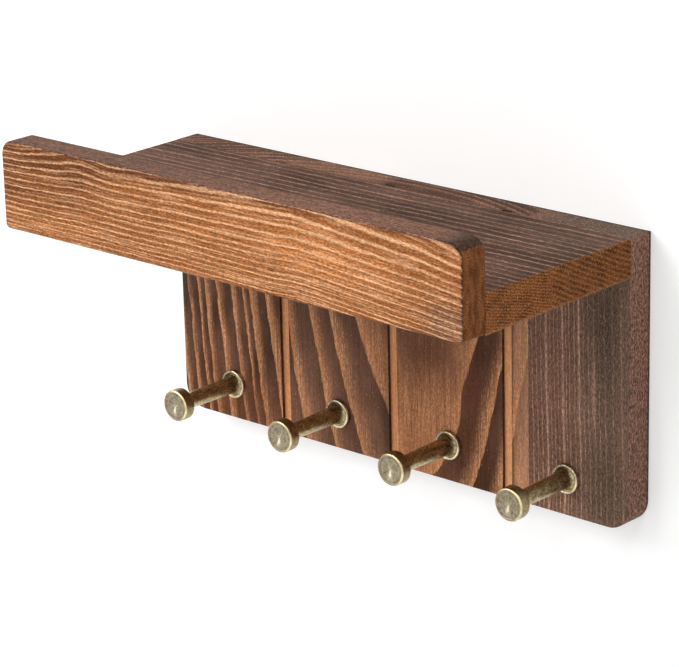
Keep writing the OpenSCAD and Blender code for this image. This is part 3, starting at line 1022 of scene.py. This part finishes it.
def make_light(context, choices):
    """Even light from all round, a large soft lamp at the front left and two weaker ones."""
    world = bpy.data.worlds.new("room_light")
    world.use_nodes = True
    nodes = Nodes(world.node_tree)
    path = nodes.node("ShaderNodeLightPath").outputs
    seen = nodes.most(path["Is Camera Ray"], path["Is Glossy Ray"])
    seen = nodes.most(seen, path["Is Transmission Ray"])
    level = choices.sky_level + seen * (1 - choices.sky_level)
    backdrop = world.node_tree.nodes["Background"]
    nodes.plug(backdrop.inputs["Color"], (1, 1, 1, 1))
    nodes.plug(backdrop.inputs["Strength"], level)
    context.scene.world = world
    from_left = (-0.47, -0.67, 0.57)
    from_right = (0.33, -0.66, 0.68)
    from_behind = (-0.3, 0.75, 0.5)
    hang_lamp(context, "key_lamp", from_left, distance=1.6, size=1.1, power=choices.key_power)
    hang_lamp(context, "front_lamp", from_right, distance=1.5, size=0.35, power=2.2)
    hang_lamp(context, "back_lamp", from_behind, distance=1.5, size=0.8, power=8)


# Steps that the user can run


class KEYHOLDER_OT_back_board(bpy.types.Operator):
    """Finish the grooved back board"""

    bl_idname = "keyholder.back_board"
    bl_label = "Back Board"

    def execute(self, context):
        dress("back_panel", panel_finish(context.scene.keyholder_wood))
        return {"FINISHED"}


class KEYHOLDER_OT_shelf(bpy.types.Operator):
    """Finish the shelf board"""

    bl_idname = "keyholder.shelf"
    bl_label = "Shelf"

    def execute(self, context):
        dress("shelf_board", shelf_finish(context.scene.keyholder_wood))
        return {"FINISHED"}


class KEYHOLDER_OT_rail(bpy.types.Operator):
    """Finish the front rail"""

    bl_idname = "keyholder.rail"
    bl_label = "Front Rail"

    def execute(self, context):
        dress("front_rail", rail_finish(context.scene.keyholder_wood))
        return {"FINISHED"}


class KEYHOLDER_OT_hooks(bpy.types.Operator):
    """Turn and finish the four hooks"""

    bl_idname = "keyholder.hooks"
    bl_label = "Hooks"

    def execute(self, context):
        choices = context.scene.keyholder_hooks
        places = []
        for index in (1, 2, 3, 4):
            low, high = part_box(f"hook_{index}")
            places.append(Vector(((low.x + high.x) / 2, high.y, (low.z + high.z) / 2)))
        first = turn_hook(places[0], choices.steps)
        first.data.materials.append(brass_finish(choices))
        hooks = [first] + [copy_hook(context, first, place - places[0]) for place in places[1:]]
        for index, hook in enumerate(hooks, start=1):
            hook.name = f"turned_hook_{index}"
            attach(hook, "root")
            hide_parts(f"hook_{index}")
        return {"FINISHED"}


class KEYHOLDER_OT_fasteners(bpy.types.Operator):
    """Finish the screws and the dowels"""

    bl_idname = "keyholder.fasteners"
    bl_label = "Screws and Dowels"

    def execute(self, context):
        steel = steel_finish()
        beech = dowel_finish()
        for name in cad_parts:
            if "screw" in name:
                dress(name, steel)
            elif "dowel" in name:
                dress(name, beech)
        return {"FINISHED"}


class KEYHOLDER_OT_stage(bpy.types.Operator):
    """Set up the camera, the wall, the floor and the light"""

    bl_idname = "keyholder.stage"
    bl_label = "Stage"

    def execute(self, context):
        make_camera(context)
        make_wall(context)
        make_floor(context)
        make_light(context, context.scene.keyholder_stage)
        return {"FINISHED"}


# Sidebar and registration


class KEYHOLDER_PT_sidebar(bpy.types.Panel):
    """The key holder's steps and choices"""

    bl_idname = "KEYHOLDER_PT_sidebar"
    bl_label = "Key Holder"
    bl_space_type = "VIEW_3D"
    bl_region_type = "UI"
    bl_category = "Key Holder"

    def draw(self, context):
        for step in STEPS:
            self.layout.operator(step.bl_idname)
        for name in ("keyholder_wood", "keyholder_hooks", "keyholder_stage"):
            box = self.layout.box()
            choices = getattr(context.scene, name)
            for field in choices.__annotations__:
                box.prop(choices, field)


STEPS = (
    KEYHOLDER_OT_back_board,
    KEYHOLDER_OT_shelf,
    KEYHOLDER_OT_rail,
    KEYHOLDER_OT_hooks,
    KEYHOLDER_OT_fasteners,
    KEYHOLDER_OT_stage,
)
CLASSES = (WoodChoices, HookChoices, StageChoices) + STEPS + (KEYHOLDER_PT_sidebar,)


def register():
    """Adds the classes and the scene's choices."""
    for cls in CLASSES:
        bpy.utils.register_class(cls)
    bpy.types.Scene.keyholder_wood = bpy.props.PointerProperty(type=WoodChoices)
    bpy.types.Scene.keyholder_hooks = bpy.props.PointerProperty(type=HookChoices)
    bpy.types.Scene.keyholder_stage = bpy.props.PointerProperty(type=StageChoices)


def unregister():
    """Takes them away again."""
    del bpy.types.Scene.keyholder_stage
    del bpy.types.Scene.keyholder_hooks
    del bpy.types.Scene.keyholder_wood
    for cls in reversed(CLASSES):
        bpy.utils.unregister_class(cls)


def main():
    """Runs the steps in order."""
    register()
    bpy.ops.keyholder.back_board()
    bpy.ops.keyholder.shelf()
    bpy.ops.keyholder.rail()
    bpy.ops.keyholder.hooks()
    bpy.ops.keyholder.fasteners()
    bpy.ops.keyholder.stage()


if __name__ == "__main__":
    main()
